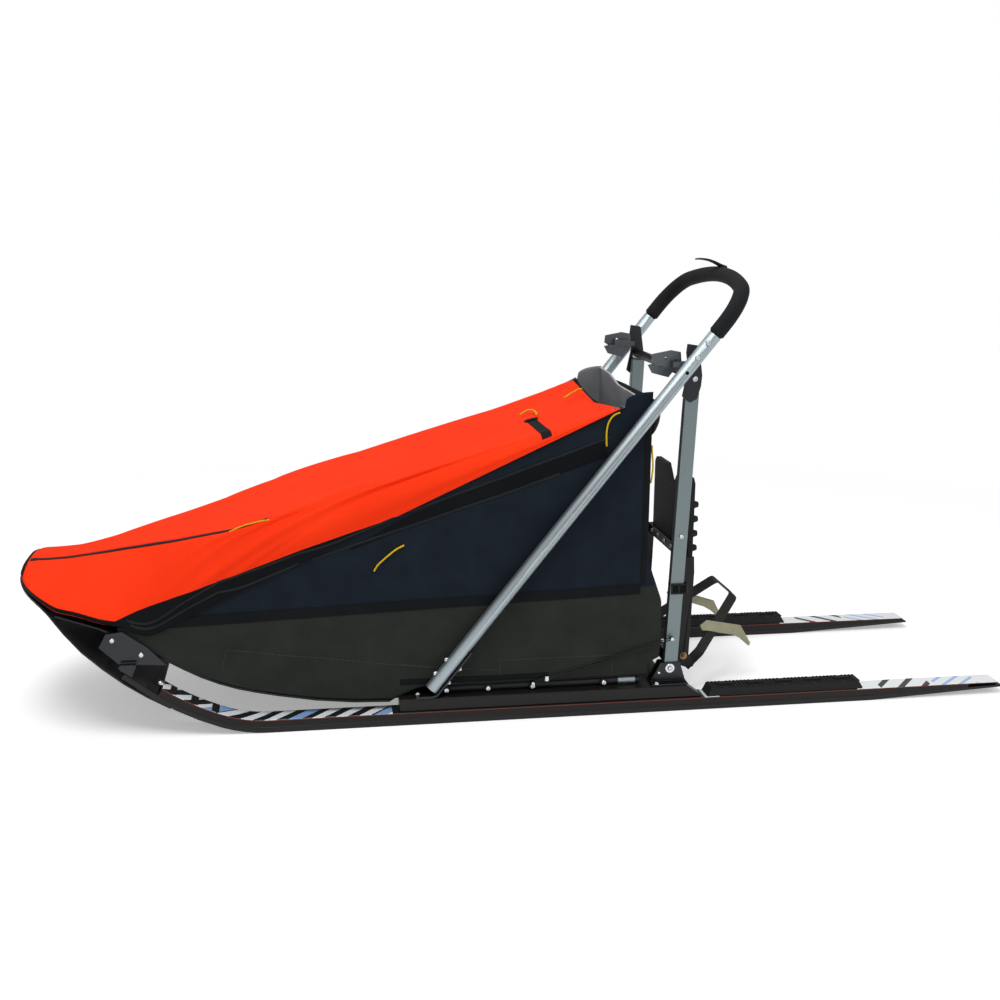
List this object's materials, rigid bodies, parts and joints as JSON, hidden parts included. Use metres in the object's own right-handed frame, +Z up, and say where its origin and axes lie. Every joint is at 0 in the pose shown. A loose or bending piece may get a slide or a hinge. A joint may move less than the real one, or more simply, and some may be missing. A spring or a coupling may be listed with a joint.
{
  "type": "dog sled",
  "caption": "Racing dog sled with laminated runners, sloping alloy tubes, handlebar loop, zipped load bag, claw brake and rubber drag mat.",
  "frame": {"origin": "on the snow under the middle of the sled's length, midway between the runners", "axes": "+X towards the nose, +Y to the driver's left, +Z up"},
  "size_m": [2.29, 0.56, 1.0278],
  "materials": {
    "runner_top_sheet": "glossy laminated ski top sheet, white with pale blue and black stripes",
    "runner_base": "black polyethylene rail and sole",
    "box_beam": "black powder coat",
    "tread_rubber": "moulded studded rubber",
    "bed_plastic": "black polyethylene sheet",
    "bracket_black": "black anodised plate",
    "rail_plastic": "dark smooth tube",
    "satin_tube": "satin clear anodised tube",
    "matt_tube": "matt grey anodised tube",
    "foam_grip": "closed-cell foam sleeve",
    "horn_plastic": "moulded nylon",
    "hook_plate": "dark grey anodised plate",
    "stay_cable": "black sleeved wire stay",
    "bag_fabric": "coated nylon, dark navy over dark grey",
    "cover_fabric": "orange coated polyester",
    "webbing": "black woven webbing and cloth",
    "pull_cord": "yellow braided cord",
    "zinc_claw": "yellow zinc plated steel"
  },
  "bodies": {
    "sled": {"runner_left": "runner_top_sheet", "runner_right": "runner_top_sheet", "sole_left": "runner_base", "sole_right": "runner_base", "riser_left": "box_beam", "riser_right": "box_beam", "tread_left": "tread_rubber", "tread_right": "tread_rubber", "crossbars": "box_beam", "bed_sheet": "bed_plastic", "bow_sheet": "bed_plastic", "nose_bracket_left": "bracket_black", "nose_bracket_right": "bracket_black", "bed_rail_left": "rail_plastic", "bed_rail_right": "rail_plastic", "main_tube_left": "satin_tube", "main_tube_right": "satin_tube", "tube_foot_left": "bracket_black", "tube_foot_right": "bracket_black", "handlebar_loop": "satin_tube", "handlebar_grip": "foam_grip", "handlebar_horn": "horn_plastic", "upright_left": "matt_tube", "upright_right": "matt_tube", "upright_foot_left": "bracket_black", "upright_foot_right": "bracket_black", "top_joint_left": "bracket_black", "top_joint_right": "bracket_black", "cross_tube": "box_beam", "hook_holder_left": "hook_plate", "hook_holder_right": "hook_plate", "rear_crossmember": "box_beam", "hinge_plate_left": "bracket_black", "hinge_plate_right": "bracket_black", "stay_left": "stay_cable", "stay_right": "stay_cable", "bag_side_left": "bag_fabric", "bag_side_right": "bag_fabric", "bag_rear": "bag_fabric", "top_cover": "cover_fabric", "rear_pouch": "webbing", "strap_left": "webbing", "strap_right": "webbing", "cover_pull_cord": "pull_cord", "side_pull_cord": "pull_cord", "corner_pull_cord": "pull_cord", "hanging_pull_cord": "pull_cord", "elastic_pull_cord": "pull_cord", "far_pull_cord": "pull_cord"},
    "brake": {"brake_hoop": "bracket_black", "claw_left": "zinc_claw", "claw_right": "zinc_claw"},
    "drag_mat_arm": {"mat_frame": "bracket_black", "drag_mat": "tread_rubber"}
  },
  "joints": [
    {"name": "brake_hinge", "type": "hinge", "parent": "sled", "child": "brake", "pos_m": [-0.391, 0, 0.075], "axis": [0, -1, 0], "range_deg": [0, 30], "stiffness_Nm_per_rad": 6, "springref_deg": -28.65},
    {"name": "mat_hinge", "type": "hinge", "parent": "sled", "child": "drag_mat_arm", "pos_m": [-0.371, 0, 0.098], "axis": [0, -1, 0], "range_deg": [0, 97]}
  ]
}
